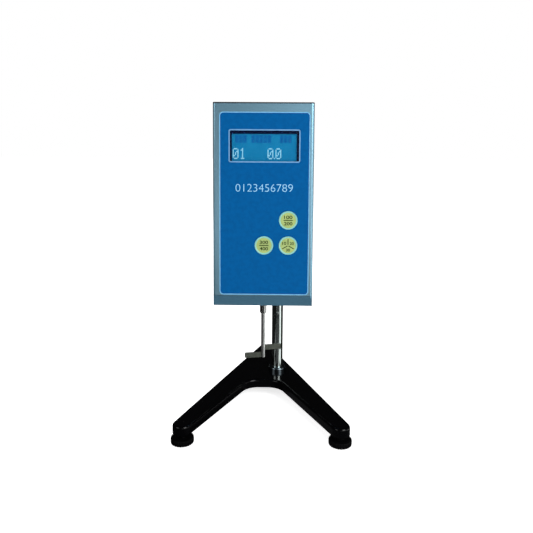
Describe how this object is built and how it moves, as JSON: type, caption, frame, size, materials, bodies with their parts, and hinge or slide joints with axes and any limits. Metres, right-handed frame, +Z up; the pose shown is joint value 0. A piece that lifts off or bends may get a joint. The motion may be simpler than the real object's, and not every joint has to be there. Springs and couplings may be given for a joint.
{
  "type": "stormer viscometer",
  "caption": "Digital paddle viscometer: upright instrument head with display and round keys, paddle rotor below, rack-and-pinion lift on a column, V-shaped foot on levelling screws.",
  "frame": {"origin": "middle of the bounding box's underside, on the bench, between the front and rear feet", "axes": "+Z up along the column, -Y towards the front panel and the open end of the V, +X to the operator's right"},
  "size_m": [0.241, 0.32, 0.453],
  "materials": {
    "black_enamel": "gloss black stove enamel on a casting",
    "column_steel": "ground and polished steel",
    "bright_steel": "machined steel",
    "screw_steel": "plated steel",
    "black_plastic": "moulded black plastic",
    "rubber": "moulded rubber",
    "bronze": "sintered bronze",
    "satin_aluminium": "cast and machined aluminium",
    "silver_paint": "fine silver-blue lacquer",
    "grey_paint": "darker grey-blue lacquer",
    "lid_paint": "near-black lacquer",
    "panel_blue": "printed blue polyester sheet",
    "window": "clear polycarbonate",
    "display_cell": "blue display cell",
    "key_plastic": "yellow-green moulded key",
    "circuit_board": "green circuit board",
    "level_vial": "level with yellow-green fluid",
    "bezel_black": "blackened steel",
    "paddle_steel": "stainless steel sheet",
    "motor_dark": "black motor laminations and end bells",
    "core_steel": "varnished core and winding",
    "spring_bronze": "phosphor bronze strip"
  },
  "bodies": {
    "base": {"base_casting": "black_enamel", "column_collar": "black_enamel", "column_nut": "screw_steel", "column": "column_steel", "column_rack": "bright_steel", "column_cap": "black_plastic", "stop_pin": "bright_steel"},
    "head": {"lift_block": "satin_aluminium", "column_bushes": "bronze", "pinion_bushes": "bronze", "head_arm": "bright_steel", "front_frame": "silver_paint", "front_panel": "panel_blue", "display_window": "window", "display_bezel": "bezel_black", "display_glass": "display_cell", "display_board": "circuit_board", "key_board": "circuit_board", "rear_cover": "silver_paint", "top_cap": "lid_paint", "bubble_level": "level_vial", "bottom_cover": "grey_paint", "chassis": "satin_aluminium", "frame_pillars": "bright_steel", "main_board": "circuit_board", "transformer": "core_steel", "bearing_housing": "satin_aluminium", "bearing_outer_rings": "bright_steel", "motor_body": "motor_dark", "motor_bracket": "satin_aluminium", "disc_sensors": "black_plastic", "power_inlet": "black_plastic", "inlet_pins": "bright_steel", "switch_body": "black_plastic", "serial_port": "bright_steel"},
    "clamp_pad": {"clamp_pad": "bronze"},
    "clamp_knob": {"clamp_knob": "black_plastic"},
    "pinion": {"pinion_shaft": "bright_steel", "lift_knobs": "black_plastic"},
    "rotor": {"spindle": "bright_steel", "bearing_inner_rings": "bright_steel", "sensing_disc": "satin_aluminium", "coupling": "bright_steel", "rotor_shaft": "column_steel", "paddle": "paddle_steel"},
    "drive": {"motor_shaft": "bright_steel", "drive_disc": "satin_aluminium", "hairspring": "spring_bronze"},
    "rocker": {"switch_rocker": "black_plastic"},
    "key_upper": {"key_upper": "key_plastic"},
    "key_left": {"key_left": "key_plastic"},
    "key_right": {"key_right": "key_plastic"},
    "foot_pad_left": {"foot_pad_left": "rubber"},
    "foot_screw_left": {"foot_screw_left": "black_plastic"},
    "foot_pad_right": {"foot_pad_right": "rubber"},
    "foot_screw_right": {"foot_screw_right": "black_plastic"},
    "foot_pad_rear": {"foot_pad_rear": "rubber"},
    "foot_screw_rear": {"foot_screw_rear": "black_plastic"}
  },
  "joints": [
    {"name": "foot_left_lift", "type": "slide", "parent": "base", "child": "foot_pad_left", "axis": [0, 0, 1], "range_m": [-0.003, 0.004]},
    {"name": "foot_left_turn", "type": "hinge", "parent": "foot_pad_left", "child": "foot_screw_left", "pos_m": [-0.105, -0.1445, 0.005], "axis": [0, 0, 1], "range_deg": [-865, 1153]},
    {"name": "foot_right_lift", "type": "slide", "parent": "base", "child": "foot_pad_right", "axis": [0, 0, 1], "range_m": [-0.003, 0.004]},
    {"name": "foot_right_turn", "type": "hinge", "parent": "foot_pad_right", "child": "foot_screw_right", "pos_m": [0.105, -0.1445, 0.005], "axis": [0, 0, 1], "range_deg": [-865, 1153]},
    {"name": "foot_rear_lift", "type": "slide", "parent": "base", "child": "foot_pad_rear", "axis": [0, 0, 1], "range_m": [-0.003, 0.004]},
    {"name": "foot_rear_turn", "type": "hinge", "parent": "foot_pad_rear", "child": "foot_screw_rear", "pos_m": [0, 0.1445, 0.005], "axis": [0, 0, 1], "range_deg": [-865, 1153]},
    {"name": "head_lift", "type": "slide", "parent": "base", "child": "head", "axis": [0, 0, 1], "range_m": [-0.06, 0.1]},
    {"name": "lift_knob_turn", "type": "hinge", "parent": "head", "child": "pinion", "pos_m": [0.0216, 0.05269, 0.2095], "axis": [1, 0, 0], "range_deg": [-430.7, 717.2]},
    {"name": "clamp_press", "type": "slide", "parent": "head", "child": "clamp_pad", "axis": [1, 0, 0], "range_m": [0, 0.00075]},
    {"name": "clamp_turn", "type": "hinge", "parent": "clamp_pad", "child": "clamp_knob", "pos_m": [0.056, 0.0375, 0.238], "axis": [1, 0, 0], "range_deg": [-1, 271]},
    {"name": "key_upper_press", "type": "slide", "parent": "head", "child": "key_upper", "axis": [0, 1, 0], "range_m": [0, 0.0005], "stiffness_N_per_m": 2000, "springref_m": -0.0005},
    {"name": "key_left_press", "type": "slide", "parent": "head", "child": "key_left", "axis": [0, 1, 0], "range_m": [0, 0.0005], "stiffness_N_per_m": 2000, "springref_m": -0.0005},
    {"name": "key_right_press", "type": "slide", "parent": "head", "child": "key_right", "axis": [0, 1, 0], "range_m": [0, 0.0005], "stiffness_N_per_m": 2000, "springref_m": -0.0005},
    {"name": "power_switch", "type": "hinge", "parent": "head", "child": "rocker", "pos_m": [-0.044, -0.0023, 0.3438], "axis": [0, 0, 1], "range_deg": [0, 16]},
    {"name": "rotor_turn", "type": "hinge", "parent": "head", "child": "rotor", "pos_m": [0, -0.0505, 0.16], "axis": [0, 0, 1], "continuous": true},
    {"name": "drive_turn", "type": "hinge", "parent": "head", "child": "drive", "pos_m": [0, -0.0505, 0.24], "axis": [0, 0, 1], "continuous": true}
  ],
  "couplings": [
    {"joint": "foot_left_turn", "follows": "foot_left_lift", "rad_per_m": 5026.5},
    {"joint": "foot_right_turn", "follows": "foot_right_lift", "rad_per_m": 5026.5},
    {"joint": "foot_rear_turn", "follows": "foot_rear_lift", "rad_per_m": 5026.5},
    {"joint": "lift_knob_turn", "follows": "head_lift", "rad_per_m": 125},
    {"joint": "clamp_turn", "follows": "clamp_press", "rad_per_m": 6283.2},
    {"joint": "drive_turn", "follows": "rotor_turn", "ratio": 1}
  ]
}
